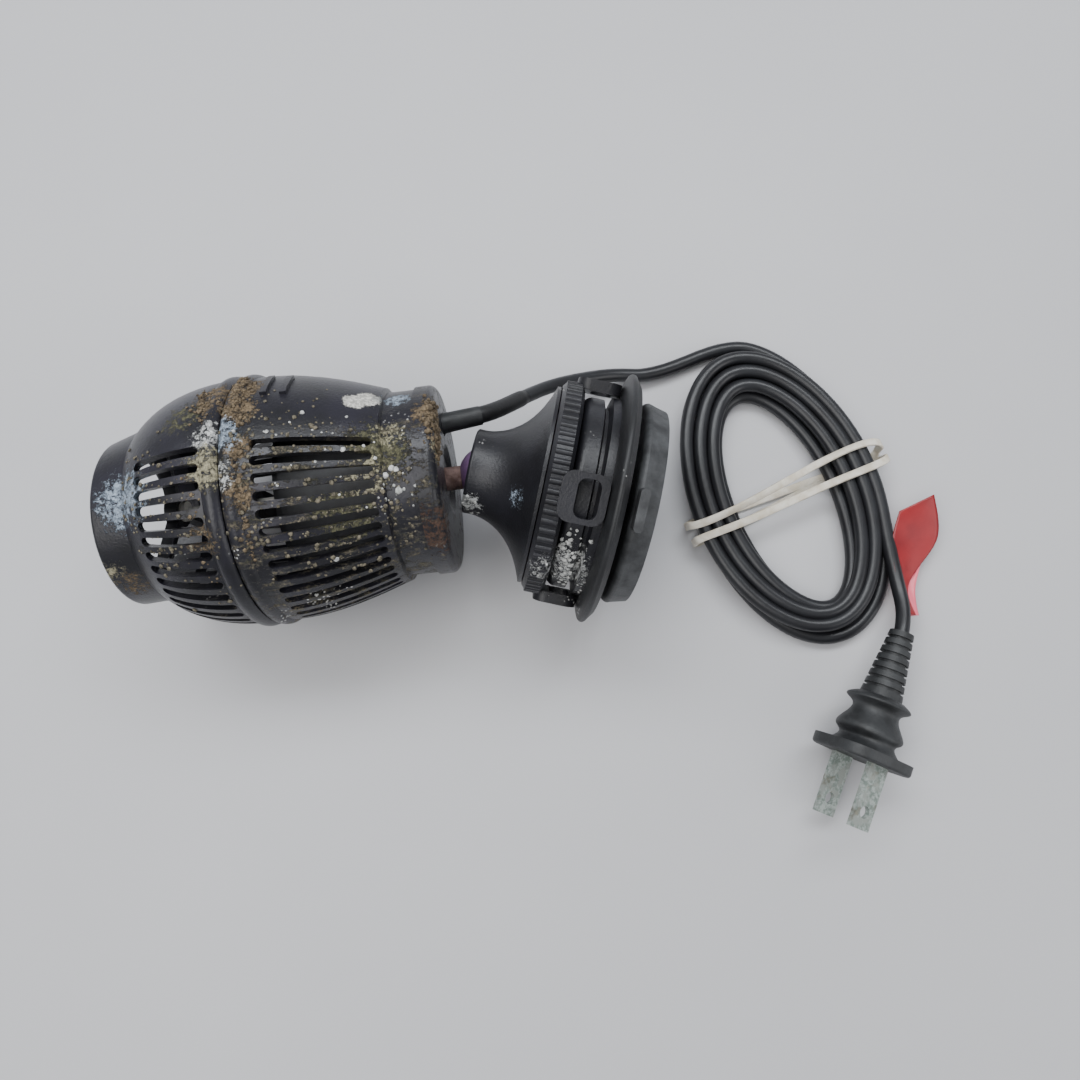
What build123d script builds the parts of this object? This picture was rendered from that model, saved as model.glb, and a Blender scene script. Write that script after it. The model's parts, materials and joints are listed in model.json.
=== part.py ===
from build123d import *
from math import acos, atan2, cos, degrees, hypot, pi, radians, sin, tan
import os

# A submersible circulation pump on a ball-jointed twist-lock suction mount, with its mains lead
# wound into a hank and tied with a rubber band. Millimetres, +Z up, +X along the pump in plan.
# The mount's stations run positive from the ball's centre towards the suction pad. The pump's
# stations run negative towards the outlet, from a point just past the ball's centre.

os.makedirs("parts", exist_ok=True)

# Driving dimensions
ball_x = 22.83
ball_y = 4.11
pump_gap = 2.3
pump_tilt = 2.2
mount_yaw = -18.0
band_radius = 32.0
bead_radius = 2.0
band_station = -59.0
front_station = -94.0
seam_station = -17.0
cap_end = -12.0
collar_radius = 24.0
slot_pitch = 7.5
slot_width = 2.2
first_slot = 76.0
slot_count = 38
ball_radius = 6.0
stem_radius = 3.0
running_gap = 0.06
part_gap = 0.3
bell_radius = 32.2
bell_rim = 31.0
ring_radius = 27.5
neck_radius = 17.0
pad_radius = 26.0
pad_face = 41.0
cord_radius = 2.0
blade_width = 6.35
blade_thickness = 1.5
blade_spacing = 12.7
blade_length = 17.0

# Where the pump and the mount lie: the band and the bell's rim both rest on the table
ball_z = (band_radius - bead_radius) * cos(radians(pump_tilt)) + bead_radius
ball_z += (bead_radius + part_gap / 2 - band_station - pump_gap) * sin(radians(pump_tilt))
rest_angle = atan2(bell_rim, bell_radius) - acos(ball_z / hypot(bell_rim, bell_radius))
mount_tilt = degrees(rest_angle)
ball = Vector(ball_x, ball_y, ball_z)
pump_axis = Vector(cos(radians(pump_tilt)), 0, sin(radians(pump_tilt)))
flat_mount = Vector(cos(radians(mount_yaw)), sin(radians(mount_yaw)), 0) * cos(radians(mount_tilt))
mount_axis = flat_mount - Vector(0, 0, sin(radians(mount_tilt)))
pump_side = Vector(0, 1, 0)
mount_side = Vector(-sin(radians(mount_yaw)), cos(radians(mount_yaw)), 0)
pump_start = ball + pump_axis * pump_gap
pump_line = Axis(ball, pump_axis)
mount_line = Axis(ball, mount_axis)
pump_section = Plane(origin=pump_start, x_dir=pump_axis, z_dir=pump_axis.cross(pump_side))
mount_section = Plane(origin=ball, x_dir=mount_axis, z_dir=mount_axis.cross(mount_side))


def pump_plane(station):
    """The plane across the pump at a station, with +X towards the cable's side."""
    return Plane(origin=pump_start + pump_axis * station, x_dir=pump_side, z_dir=pump_axis)


def mount_plane(station):
    """The plane across the mount at a station."""
    return Plane(origin=ball + mount_axis * station, x_dir=mount_side, z_dir=mount_axis)


def radial_plane(frame_plane, angle):
    """A plane that looks outward from a cross plane's centre, with +X along its axis."""
    outward = frame_plane.x_dir * cos(radians(angle)) + frame_plane.y_dir * sin(radians(angle))
    return Plane(origin=frame_plane.origin, x_dir=frame_plane.z_dir, z_dir=outward)


def save(builder, label):
    builder.part.label = label
    export_step(builder.part, f"parts/{label}.step")


# ---- Pump shells ----

slot_angles = [first_slot + slot_pitch * (index + 0.5) for index in range(slot_count)]
front_slot_station = -72.0
rear_slot_station = -39.0
slot_floor = 18.0
slot_depth = 20.0
front_cut, rear_cut = [
    [radial_plane(pump_plane(station), angle).offset(slot_floor) for angle in slot_angles]
    for station in (front_slot_station, rear_slot_station)
]
front_face = band_station - part_gap / 2
rear_face = band_station + part_gap / 2
spigot_outer = 28.6
spigot_length = 3.5
nozzle_outer = 21.0
nozzle_inner = 18.6
nozzle_shift = 1.6
crease_station = -85.5

with BuildPart() as front_cage:
    with BuildSketch(pump_section):
        with BuildLine():
            Spline((crease_station, 22.2), (-79.5, 26.8), (-71.5, 29.9), (-64.5, 31.0))
            Line((-64.5, 31.0), (front_face - 2 * bead_radius, 31.0))
            ThreePointArc(
                (front_face - 2 * bead_radius, 31.0),
                (front_face - bead_radius, band_radius),
                (front_face, 31.0),
            )
            Line((front_face, 31.0), (front_face, spigot_outer))
            Line((front_face, spigot_outer), (front_face + spigot_length, spigot_outer))
            Line((front_face + spigot_length, spigot_outer), (front_face + spigot_length, 27.0))
            Line((front_face + spigot_length, 27.0), (-64.5, 28.6))
            Spline((-64.5, 28.6), (-71.5, 27.9), (-79.5, 24.6), (crease_station, 19.6))
            Line((crease_station, 19.6), (crease_station, 22.2))
        make_face()
    revolve(axis=pump_line)
    with BuildSketch(*front_cut):
        SlotOverall(17.0, slot_width)
    extrude(amount=slot_depth, mode=Mode.SUBTRACT)
save(front_cage, "front_cage")

with BuildPart() as outlet_nozzle:
    with BuildSketch(pump_plane(crease_station)):
        Circle(22.2)
        Circle(19.6, mode=Mode.SUBTRACT)
    with BuildSketch(pump_plane(front_station)):
        with Locations((-nozzle_shift, 0)):
            Circle(nozzle_outer)
            Circle(nozzle_inner, mode=Mode.SUBTRACT)
    loft()
    fillet(outlet_nozzle.faces().sort_by(pump_line)[0].edges(), 1.0)
save(outlet_nozzle, "outlet_nozzle")

panel_ribs = [(-51.0, 31.7), (-46.5, 31.2)]
rib_thickness = 1.6
rib_start = (45.0 * cos(radians(34)), 45.0 * sin(radians(34)))
rib_end = (45.0 * cos(radians(52)), 45.0 * sin(radians(52)))
with BuildPart() as rear_cage:
    with BuildSketch(pump_section):
        with BuildLine():
            ThreePointArc(
                (rear_face, 31.0),
                (rear_face + bead_radius, band_radius),
                (rear_face + 2 * bead_radius, 31.0),
            )
            Line((rear_face + 2 * bead_radius, 31.0), (-53.0, 31.0))
            Spline((-53.0, 31.0), (-43.0, 29.9), (-33.0, 27.4), (-24.5, 24.6))
            Line((-24.5, 24.6), (-24.0, collar_radius - 0.6))
            Line((-24.0, collar_radius - 0.6), (seam_station, collar_radius - 0.6))
            Line((seam_station, collar_radius - 0.6), (seam_station, 21.0))
            Line((seam_station, 21.0), (-21.0, 21.0))
            Line((-21.0, 21.0), (-21.0, 19.0))
            Line((-21.0, 19.0), (-24.5, 19.0))
            Line((-24.5, 19.0), (-24.5, 22.4))
            Spline((-24.5, 22.4), (-33.0, 25.3), (-43.0, 27.8), (-53.0, 28.6 + running_gap))
            Line((-53.0, 28.6 + running_gap), (rear_face, 28.6 + running_gap))
            Line((rear_face, 28.6 + running_gap), (rear_face, 31.0))
        make_face()
    revolve(axis=pump_line)
    with BuildSketch(*rear_cut):
        SlotOverall(26.0, slot_width)
    extrude(amount=slot_depth, mode=Mode.SUBTRACT)
    # Two raised arcs on the smooth cable-side panel
    for rib_station, rib_top in panel_ribs:
        with BuildSketch(pump_plane(rib_station)):
            Circle(rib_top)
            Circle(rib_top - 3.0, mode=Mode.SUBTRACT)
            with BuildLine():
                Polyline((0, 0), rib_start, rib_end, close=True)
            make_face(mode=Mode.INTERSECT)
        extrude(amount=rib_thickness)
save(rear_cage, "rear_cage")

boot_angle = 8.0
boot_offset = 14.0
boot_hole = 3.0
with BuildPart() as end_cap:
    with BuildSketch(pump_section):
        with BuildLine():
            Polyline(
                (seam_station, 0),
                (seam_station, collar_radius),
                (-13.6, collar_radius),
            )
            ThreePointArc((-13.6, collar_radius), (-12.5, 23.3), (cap_end, 22.0))
            Polyline((cap_end, 22.0), (cap_end, 9.0), (-13.2, 7.0), (-13.2, 0), (seam_station, 0))
        make_face()
    revolve(axis=pump_line)
    with BuildSketch(pump_plane(cap_end)):
        with PolarLocations(boot_offset, 1, start_angle=boot_angle):
            Circle(boot_hole)
    extrude(amount=-4.0, mode=Mode.SUBTRACT)
    with BuildSketch(pump_plane(seam_station)):
        Circle(stem_radius)
    extrude(amount=5.0, mode=Mode.SUBTRACT)
save(end_cap, "end_cap")

# ---- Motor ----

can_radius = 19.0
can_front = -50.0
well_radius = 6.5
well_end = -26.0
with BuildPart() as motor_housing:
    with BuildSketch(pump_section):
        with BuildLine():
            Polyline(
                (can_front, well_radius),
                (can_front, can_radius),
                (-20.0, can_radius),
                (-20.0, 17.5),
                (can_front + 1.5, 17.5),
                (can_front + 1.5, well_radius + 1.0),
                (well_end + 1.0, well_radius + 1.0),
                (well_end + 1.0, 0),
                (well_end, 0),
                (well_end, well_radius),
                close=True,
            )
        make_face()
    revolve(axis=pump_line)
save(motor_housing, "motor_housing")

with BuildPart() as motor_potting:
    with BuildSketch(pump_plane(-20.0)):
        Circle(17.5)
    extrude(amount=-4.0)
save(motor_potting, "motor_potting")

pole_width = 6.0
core_front = -45.0
core_length = 14.0
with BuildPart() as stator_core:
    with BuildSketch(pump_plane(core_front)):
        Circle(16.8)
        Circle(13.6, mode=Mode.SUBTRACT)
        with PolarLocations(11.3, 2, start_angle=90):
            Rectangle(6.2, pole_width)
    extrude(amount=core_length)
save(stator_core, "stator_core")

with BuildPart() as coil_bobbin:
    with BuildSketch(radial_plane(pump_plane(core_front + core_length / 2), 90).offset(8.2)):
        Rectangle(core_length + 2.0, pole_width + 2.0)
        Rectangle(core_length, pole_width, mode=Mode.SUBTRACT)
    extrude(amount=4.6)
    with BuildSketch(radial_plane(pump_plane(core_front + core_length / 2), 270).offset(8.2)):
        Rectangle(core_length + 2.0, pole_width + 2.0)
        Rectangle(core_length, pole_width, mode=Mode.SUBTRACT)
    extrude(amount=4.6)
save(coil_bobbin, "coil_bobbins")

with BuildPart() as coil_winding:
    for side in (90, 270):
        with BuildSketch(radial_plane(pump_plane(core_front + core_length / 2), side).offset(8.4)):
            Rectangle(core_length + 5.0, pole_width + 6.0)
            Rectangle(core_length + 2.0, pole_width + 2.0, mode=Mode.SUBTRACT)
        extrude(amount=3.3)
save(coil_winding, "coil_windings")

with BuildPart() as well_cover:
    with BuildSketch(pump_plane(can_front)):
        Circle(can_radius - 1.0)
        Circle(1.6, mode=Mode.SUBTRACT)
        with PolarLocations(4.2, 6):
            Circle(0.8, mode=Mode.SUBTRACT)
    extrude(amount=-1.6)
save(well_cover, "rotor_well_cover")

shaft_radius = 1.0
with BuildPart() as rear_bearing:
    with BuildSketch(pump_plane(well_end)):
        Circle(well_radius)
        Circle(shaft_radius + running_gap, mode=Mode.SUBTRACT)
    extrude(amount=-2.5)
save(rear_bearing, "rear_bearing")

# ---- Rotor ----

with BuildPart() as shaft:
    with BuildSketch(pump_plane(-84.5)):
        Circle(shaft_radius)
    extrude(amount=58.0)
save(shaft, "rotor_shaft")

with BuildPart() as rotor_magnet:
    with BuildSketch(pump_plane(-48.5)):
        Circle(5.8)
        Circle(shaft_radius, mode=Mode.SUBTRACT)
    extrude(amount=18.5)
save(rotor_magnet, "rotor_magnet")

hub_radius = 5.0
blade_reach = 23.0
with BuildPart() as impeller:
    with BuildSketch(pump_plane(-72.0)):
        Circle(hub_radius)
    extrude(amount=10.0)
    fillet(impeller.faces().sort_by(pump_line)[0].edges(), 2.0)
    for blade in range(3):
        root_plane = radial_plane(pump_plane(-67.0), 30 + 120 * blade)
        with BuildSketch(root_plane.offset(hub_radius - 1.5).rotated((0, 0, 52))):
            Ellipse(6.4, 0.9)
        with BuildSketch(root_plane.offset(blade_reach).rotated((0, 0, 28))):
            Ellipse(8.2, 0.6)
        loft()
    with BuildSketch(pump_plane(-74.0)):
        Circle(shaft_radius)
    extrude(amount=14.0, mode=Mode.SUBTRACT)
save(impeller, "impeller")

with BuildPart() as thrust_washers:
    for washer_station in (-53.0, -81.2):
        with BuildSketch(pump_plane(washer_station)):
            Circle(2.6)
            Circle(shaft_radius, mode=Mode.SUBTRACT)
        extrude(amount=1.2)
save(thrust_washers, "thrust_washers")

# ---- Front bearing, carried by the front cage ----

spider_station = -84.6
with BuildPart() as bearing_spider:
    with BuildSketch(pump_plane(spider_station)):
        Circle(4.0)
        with PolarLocations(11.0, 3, start_angle=30):
            Rectangle(16.6, 1.8)
        Circle(2.6, mode=Mode.SUBTRACT)
    extrude(amount=3.2)
save(bearing_spider, "bearing_spider")

with BuildPart() as front_bearing:
    with BuildSketch(pump_plane(spider_station)):
        Circle(2.6)
        Circle(shaft_radius + running_gap, mode=Mode.SUBTRACT)
    extrude(amount=3.2)
save(front_bearing, "front_bearing")

# ---- Ball joint: nested spherical shells round one centre ----

liner_outer = 7.2
seat_inner = 7.3
seat_outer = 8.6
socket_inner = 8.7
seat_mouth = -4.4
stem_start = seam_station + pump_gap
neck_station = -((ball_radius**2 - stem_radius**2) ** 0.5)
ball_plane = Plane(origin=ball, x_dir=pump_side, z_dir=pump_axis)
ball_section = Plane(origin=ball, x_dir=pump_axis, z_dir=pump_axis.cross(pump_side))
with BuildPart() as ball_stem:
    with BuildSketch(ball_section):
        with BuildLine():
            Line((ball_radius, 0), (stem_start, 0))
            Line((stem_start, 0), (stem_start, stem_radius))
            Line((stem_start, stem_radius), (neck_station, stem_radius))
            ThreePointArc((neck_station, stem_radius), (0, ball_radius), (ball_radius, 0))
        make_face()
    revolve(axis=pump_line)
save(ball_stem, "ball_stem")

with BuildPart(ball_plane) as ball_liner:
    Sphere(liner_outer)
    Sphere(ball_radius + running_gap, mode=Mode.SUBTRACT)
    with BuildSketch(ball_plane):
        Circle(stem_radius + part_gap)
    extrude(amount=-2 * liner_outer, mode=Mode.SUBTRACT)
save(ball_liner, "ball_liner")

with BuildPart(Plane(origin=ball, x_dir=mount_side, z_dir=mount_axis)) as ball_seat:
    Sphere(seat_outer)
    Sphere(seat_inner, mode=Mode.SUBTRACT)
    split(bisect_by=mount_plane(seat_mouth), keep=Keep.TOP)
save(ball_seat, "ball_seat")

# ---- Suction mount ----

nose_station = -4.5
cone_end = 14.0
socket_mouth = (socket_inner**2 - nose_station**2) ** 0.5
with BuildPart() as socket_cone:
    with BuildSketch(mount_section):
        with BuildLine():
            Line((nose_station, socket_mouth), (nose_station, 10.2))
            ThreePointArc((nose_station, 10.2), (-4.2, 10.7), (-3.4, 10.9))
            Spline((-3.4, 10.9), (2.5, 12.0), (7.5, 15.4), (11.0, 20.2), (cone_end - 0.8, 25.4))
            Line((cone_end - 0.8, 25.4), (cone_end, 25.4))
            Line((cone_end, 25.4), (cone_end, neck_radius))
            Line((cone_end, neck_radius), (10.6, neck_radius))
            Line((10.6, neck_radius), (10.6, 0))
            Line((10.6, 0), (socket_inner, 0))
            ThreePointArc((socket_inner, 0), (0, socket_inner), (nose_station, socket_mouth))
        make_face()
    revolve(axis=mount_line)
save(socket_cone, "socket_cone")

stud_radius = 4.0
pin_radius = 0.8
pin_station = 18.0
pin_reach = 18.4
lift = 1.6
flange_start = 20.2
with BuildPart() as cup_hub:
    with BuildSketch(mount_section):
        with BuildLine():
            Line((10.6, 0), (10.6, neck_radius))
            Line((10.6, neck_radius), (flange_start, neck_radius))
            Line((flange_start, neck_radius), (flange_start, 22.5))
            ThreePointArc((flange_start, 22.5), (20.9, 23.9), (22.2, 24.5))
            Polyline(
                (22.2, 24.5),
                (25.2, 24.5),
                (25.8, 22.6),
                (26.6, 22.6),
                (27.2, 25.4),
                (29.2, 25.4),
                (29.2, 0),
                (10.6, 0),
            )
        make_face()
    revolve(axis=mount_line)
    with BuildSketch(mount_plane(11.6)):
        Circle(stud_radius + running_gap)
    extrude(amount=20.0, mode=Mode.SUBTRACT)
    with BuildSketch(mount_plane(pin_station - lift - pin_radius - part_gap)):
        Rectangle(2 * neck_radius + 4, 2 * (pin_radius + part_gap))
    extrude(amount=lift + 2 * (pin_radius + part_gap), mode=Mode.SUBTRACT)
save(cup_hub, "cup_hub")

with BuildPart() as cup_bell:
    with BuildSketch(mount_section):
        with BuildLine():
            Line((29.2, 6.0), (29.2, 26.0))
            ThreePointArc((29.2, 26.0), (29.5, 29.6), (30.2, 31.6))
            ThreePointArc((30.2, 31.6), (bell_rim, bell_radius), (31.8, 31.6))
            Line((31.8, 31.6), (33.0, 30.0))
            Line((33.0, 30.0), (31.6, 27.0))
            Line((31.6, 27.0), (31.6, 6.0))
            Line((31.6, 6.0), (29.2, 6.0))
        make_face()
    revolve(axis=mount_line)
save(cup_bell, "cup_bell")

loop_roll = 15.0
ring_front = cone_end + part_gap
ring_back = flange_start - part_gap
loop_length = 11.0
loop_station = ring_back - 2.0 + loop_length / 2
with BuildPart() as grip_ring:
    with BuildSketch(mount_section):
        with BuildLine():
            Polyline(
                (ring_front, neck_radius + running_gap),
                (ring_front, 25.8),
                (ring_front + 0.9, 26.9),
                (ring_back - 0.9, 26.9),
                (ring_back, 25.8),
                (ring_back, neck_radius + running_gap),
                (pin_station + pin_radius + part_gap, neck_radius + running_gap),
                (pin_station + pin_radius + part_gap, pin_reach + part_gap),
                (pin_station - lift - pin_radius - part_gap, pin_reach + part_gap),
                (pin_station - lift - pin_radius - part_gap, neck_radius + running_gap),
                close=True,
            )
        make_face()
    revolve(axis=mount_line)
    with BuildSketch(mount_plane(ring_front + 0.9)):
        with PolarLocations(ring_radius - 0.9, 72):
            Circle(0.8)
    extrude(amount=ring_back - ring_front - 1.8)
    for index in range(4):
        loop_plane = radial_plane(mount_plane(loop_station), loop_roll + 90 * index)
        with BuildSketch(loop_plane.offset(25.8)):
            RectangleRounded(loop_length, 11.8, 3.0)
            with Locations((0.9, 0)):
                RectangleRounded(5.4, 9.2, 2.0, mode=Mode.SUBTRACT)
        extrude(amount=2.8)
save(grip_ring, "grip_ring")

pad_front = 35.0
pin_plane = Plane(origin=ball + mount_axis * pin_station, x_dir=mount_axis, z_dir=mount_side)
with BuildPart() as pull_stud:
    with BuildSketch(mount_plane(13.8)):
        Circle(stud_radius)
    extrude(amount=pad_front - 13.8)
    with BuildSketch(pin_plane):
        Circle(pin_radius)
    extrude(amount=2 * stud_radius, both=True, mode=Mode.SUBTRACT)
save(pull_stud, "pull_stud")

with BuildPart() as stud_pin:
    with BuildSketch(pin_plane):
        Circle(pin_radius)
    extrude(amount=pin_reach, both=True)
save(stud_pin, "stud_pin")

tab_angle = 105.0
tab_width = 10.0
with BuildPart() as suction_pad:
    with BuildSketch(mount_section):
        with BuildLine():
            Line((38.2, 0), (pad_front, 0))
            Line((pad_front, 0), (pad_front, 24.0))
            ThreePointArc((pad_front, 24.0), (35.4, 25.4), (36.6, pad_radius))
            Line((36.6, pad_radius), (37.8, 25.6))
            Line((37.8, 25.6), (pad_face, 24.8))
            Line((pad_face, 24.8), (pad_face, 22.6))
            Line((pad_face, 22.6), (38.2, 14.0))
            Line((38.2, 14.0), (38.2, 0))
        make_face()
    revolve(axis=mount_line)
    with BuildSketch(radial_plane(mount_plane(36.6), tab_angle).offset(24.5)):
        RectangleRounded(2.2, tab_width, 1.0)
    extrude(amount=5.5)
save(suction_pad, "suction_pad")

# ---- Mains lead ----


def on_table(east, north, height):
    """A point given in plan from below the ball, and by its height over the table."""
    return Vector(ball_x + east, ball_y + north, height)


def cord_tube(name, route):
    """Straight runs joined by tangent arcs, each as large as its two runs allow."""
    radii = []
    for before, corner, after in zip(route, route[1:], route[2:]):
        turn = (corner - before).get_angle(after - corner)
        shorter = min((corner - before).length, (after - corner).length)
        radii.append(0.45 * shorter / tan(radians(turn / 2)))
    with BuildPart() as tube:
        with BuildLine() as path:
            FilletPolyline(*route, radius=radii)
        with BuildSketch(Plane(origin=route[0], z_dir=route[1] - route[0])):
            Circle(cord_radius)
        sweep(path=path.wires()[0])
    expected = pi * cord_radius**2 * path.wires()[0].length
    print(name, "radii", [round(radius, 1) for radius in radii])
    print(name, "volume", round(tube.part.volume), "of", round(expected))
    return tube


boot_plane = pump_plane(cap_end)
boot_centre = boot_plane.origin + boot_plane.x_dir * (boot_offset * cos(radians(boot_angle)))
boot_centre += boot_plane.y_dir * (boot_offset * sin(radians(boot_angle)))
boot_direction = (on_table(-2.0, 15.5, 34.4) - boot_centre).normalized()
boot_end = boot_centre + boot_direction * 10.0
with BuildPart() as cable_boot:
    with BuildSketch(Plane(origin=boot_centre - pump_axis * 3.6, z_dir=boot_direction)):
        Circle(2.7)
    with BuildSketch(Plane(origin=boot_end, z_dir=boot_direction)):
        Circle(cord_radius + 0.5)
    loft()
save(cable_boot, "cable_boot")

lead_route = [
    boot_end,
    on_table(5.0, 18.6, 29.5),
    on_table(12.0, 24.0, 21.5),
    on_table(19.5, 28.8, 14.5),
    on_table(29.0, 32.0, 9.0),
    on_table(40.0, 34.0, 4.5),
    on_table(52.0, 32.8, cord_radius + 0.4),
    on_table(64.0, 28.5, cord_radius + 0.8),
]
cord_lead = cord_tube("lead", lead_route)
save(cord_lead, "cord_lead")

coil_centre = on_table(84.2, -8.6, 0)
coil_turn = -15.1
coil_long = 50.5
coil_short = 30.0
coil_hole_long = 31.0
coil_hole_short = 11.5
coil_height = 10.0
coil_plane = Plane(origin=coil_centre, x_dir=(sin(radians(coil_turn)), cos(radians(coil_turn)), 0))
with BuildPart() as cord_coil:
    with BuildSketch(coil_plane):
        Ellipse(coil_long, coil_short)
        Ellipse(coil_hole_long, coil_hole_short, mode=Mode.SUBTRACT)
    extrude(amount=coil_height)
save(cord_coil, "cord_coil")

plug_height = 12.2
tail_route = [
    on_table(107.6, -27.5, 6.0),
    on_table(110.9, -35.6, 6.6),
    on_table(111.1, -44.4, 8.6),
    on_table(107.8, -52.2, plug_height),
]
cord_tail = cord_tube("tail", tail_route)
save(cord_tail, "cord_tail")

tie_angle = 18.9
tie_span = 55.0
tie_thickness = 0.9
tie_width = 2.4
tie_direction = Vector(cos(radians(tie_angle)), sin(radians(tie_angle)), 0)
tie_across = Vector(-sin(radians(tie_angle)), cos(radians(tie_angle)), 0)
tie_centre = on_table(84.9, -8.7, coil_height / 2 + tie_thickness / 2)
with BuildPart() as rubber_band:
    for offset in (-2.7, 2.7):
        strand_plane = Plane(
            origin=tie_centre + tie_across * (offset - tie_width / 2),
            x_dir=tie_direction,
            z_dir=tie_across,
        )
        with BuildSketch(strand_plane):
            RectangleRounded(tie_span, coil_height + tie_thickness, 4.5)
            RectangleRounded(
                tie_span - 2 * tie_thickness, coil_height - tie_thickness, 4.0, mode=Mode.SUBTRACT
            )
        extrude(amount=tie_width)
save(rubber_band, "rubber_band")

# ---- Plug ----

plug_turn = -119.0
plug_roll = 66.0
relief_length = 19.0
plug_length = 17.5
plug_direction = Vector(cos(radians(plug_turn)), sin(radians(plug_turn)), 0)
plug_side = Vector(-sin(radians(plug_turn)), cos(radians(plug_turn)), 0) * cos(radians(plug_roll))
plug_side += Vector(0, 0, sin(radians(plug_roll)))
relief_start = tail_route[-1]


def plug_plane(distance):
    """The plane across the plug at a distance from the strain relief's cable end."""
    origin = relief_start + plug_direction * distance
    return Plane(origin=origin, x_dir=plug_side, z_dir=plug_direction)


relief_section = Plane(
    origin=relief_start, x_dir=plug_direction, z_dir=plug_direction.cross(plug_side)
)
relief_ribs = 7
with BuildPart() as plug_strain_relief:
    with BuildSketch(relief_section):
        with BuildLine():
            Polyline(
                (0, 0), (0, 3.2), (relief_length, 5.6), (relief_length, 0), close=True
            )
        make_face()
    revolve(axis=Axis(relief_start, plug_direction))
    for index in range(relief_ribs):
        with BuildSketch(plug_plane(1.6 + 2.4 * index)):
            Circle(8.0)
            Circle(2.7 + 0.3 * index, mode=Mode.SUBTRACT)
        extrude(amount=0.9, mode=Mode.SUBTRACT)
save(plug_strain_relief, "plug_strain_relief")

# Each section is a distance from the relief, a half size across the blades' gap and one along
# the blades' width: a collar, a waist, shoulders and a flange at the face
plug_barrel = [(0.0, 6.2, 6.6), (2.2, 7.4, 8.3), (3.4, 6.0, 6.6), (6.0, 6.4, 7.2), (10.5, 8.6, 8.4)]
flange_thickness = 3.0
flange_start_length = plug_length - flange_thickness
flange_wide = 21.0
flange_high = 23.0
with BuildPart() as plug_body:
    for distance, half_wide, half_high in plug_barrel:
        with BuildSketch(plug_plane(relief_length + distance)):
            Ellipse(half_wide, half_high)
    with BuildSketch(plug_plane(relief_length + flange_start_length)):
        Ellipse(9.4, 9.0)
    loft()
    with BuildSketch(plug_plane(relief_length + flange_start_length)):
        RectangleRounded(flange_wide, flange_high, 6.5)
    extrude(amount=flange_thickness)
    fillet(plug_body.faces().sort_by(Axis(relief_start, plug_direction))[-1].edges(), 0.8)
save(plug_body, "plug_body")

with BuildPart() as plug_blades:
    for offset in (-blade_spacing / 2, blade_spacing / 2):
        with BuildSketch(plug_plane(relief_length + plug_length)):
            with Locations((offset, 0)):
                Rectangle(blade_thickness, blade_width)
        extrude(amount=blade_length)
    hole_plane = plug_plane(relief_length + plug_length + 12.5)
    with BuildSketch(Plane(origin=hole_plane.origin, x_dir=hole_plane.y_dir, z_dir=plug_side)):
        Circle(1.6)
    extrude(amount=blade_spacing, both=True, mode=Mode.SUBTRACT)
save(plug_blades, "plug_blades")

tag_bottom = 4.0
tag_outline = [
    (108.6, -46.5),
    (114.6, -47.5),
    (116.6, -38.5),
    (124.2, -32.0),
    (126.0, -25.0),
    (123.4, -14.0),
    (117.0, -17.5),
    (110.0, -24.0),
]
with BuildPart() as cord_tag:
    with BuildSketch(Plane.XY.offset(tag_bottom)):
        with BuildLine():
            Polyline(*[(ball_x + east, ball_y + north) for east, north in tag_outline], close=True)
        make_face()
    extrude(amount=7.0)
save(cord_tag, "cord_tag")
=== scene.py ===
import json
import math
import random

import bmesh
import bpy
from mathutils import Matrix, Vector, noise
from mathutils.bvhtree import BVHTree


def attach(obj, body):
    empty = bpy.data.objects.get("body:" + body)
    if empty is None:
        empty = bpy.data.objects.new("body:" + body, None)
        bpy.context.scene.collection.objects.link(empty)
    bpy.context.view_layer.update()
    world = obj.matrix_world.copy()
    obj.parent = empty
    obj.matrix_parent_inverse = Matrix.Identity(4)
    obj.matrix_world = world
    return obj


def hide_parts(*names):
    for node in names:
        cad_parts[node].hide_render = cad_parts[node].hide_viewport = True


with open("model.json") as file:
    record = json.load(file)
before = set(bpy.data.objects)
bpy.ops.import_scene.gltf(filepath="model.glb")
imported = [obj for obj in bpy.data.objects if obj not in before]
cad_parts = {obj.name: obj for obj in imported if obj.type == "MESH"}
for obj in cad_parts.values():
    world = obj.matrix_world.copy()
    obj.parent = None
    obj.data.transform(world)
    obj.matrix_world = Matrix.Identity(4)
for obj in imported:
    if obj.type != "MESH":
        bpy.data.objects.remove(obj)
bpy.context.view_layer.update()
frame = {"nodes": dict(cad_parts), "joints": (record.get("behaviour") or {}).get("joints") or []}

# A submersible circulation pump on a twist-lock suction mount, weathered by tank water, with its
# lead wound into a hank. Everything is in metres, in the frame's own axes: +Z up, +X along the pump.

MM = 0.001
SEED = 20261117

joints = {joint["name"]: joint for joint in frame["joints"]}
BALL = Vector(joints["rotor_spin"]["pos_m"])
PUMP_AXIS = Vector(joints["rotor_spin"]["axis"]).normalized()
MOUNT_AXIS = Vector(joints["mount_roll"]["axis"]).normalized()
PUMP_SIDE = Vector((0, 1, 0))
PUMP_UP = PUMP_AXIS.cross(PUMP_SIDE)
MOUNT_SIDE = Vector((-MOUNT_AXIS.y, MOUNT_AXIS.x, 0)).normalized()
MOUNT_UP = MOUNT_AXIS.cross(MOUNT_SIDE)


def pump_point(station, angle, radius):
    """A point by its distance along the pump from the ball, its angle and its radius, in mm."""
    around = PUMP_SIDE * math.cos(math.radians(angle)) + PUMP_UP * math.sin(math.radians(angle))
    return BALL + (PUMP_AXIS * station + around * radius) * MM


def mount_point(station, angle, radius):
    """The same on the mount."""
    around = MOUNT_SIDE * math.cos(math.radians(angle)) + MOUNT_UP * math.sin(math.radians(angle))
    return BALL + (MOUNT_AXIS * station + around * radius) * MM


def on_table(east, north, height):
    """A point in mm given in plan from below the ball, and by its height over the table."""
    return Vector((BALL.x + east * MM, BALL.y + north * MM, height * MM))


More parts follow.
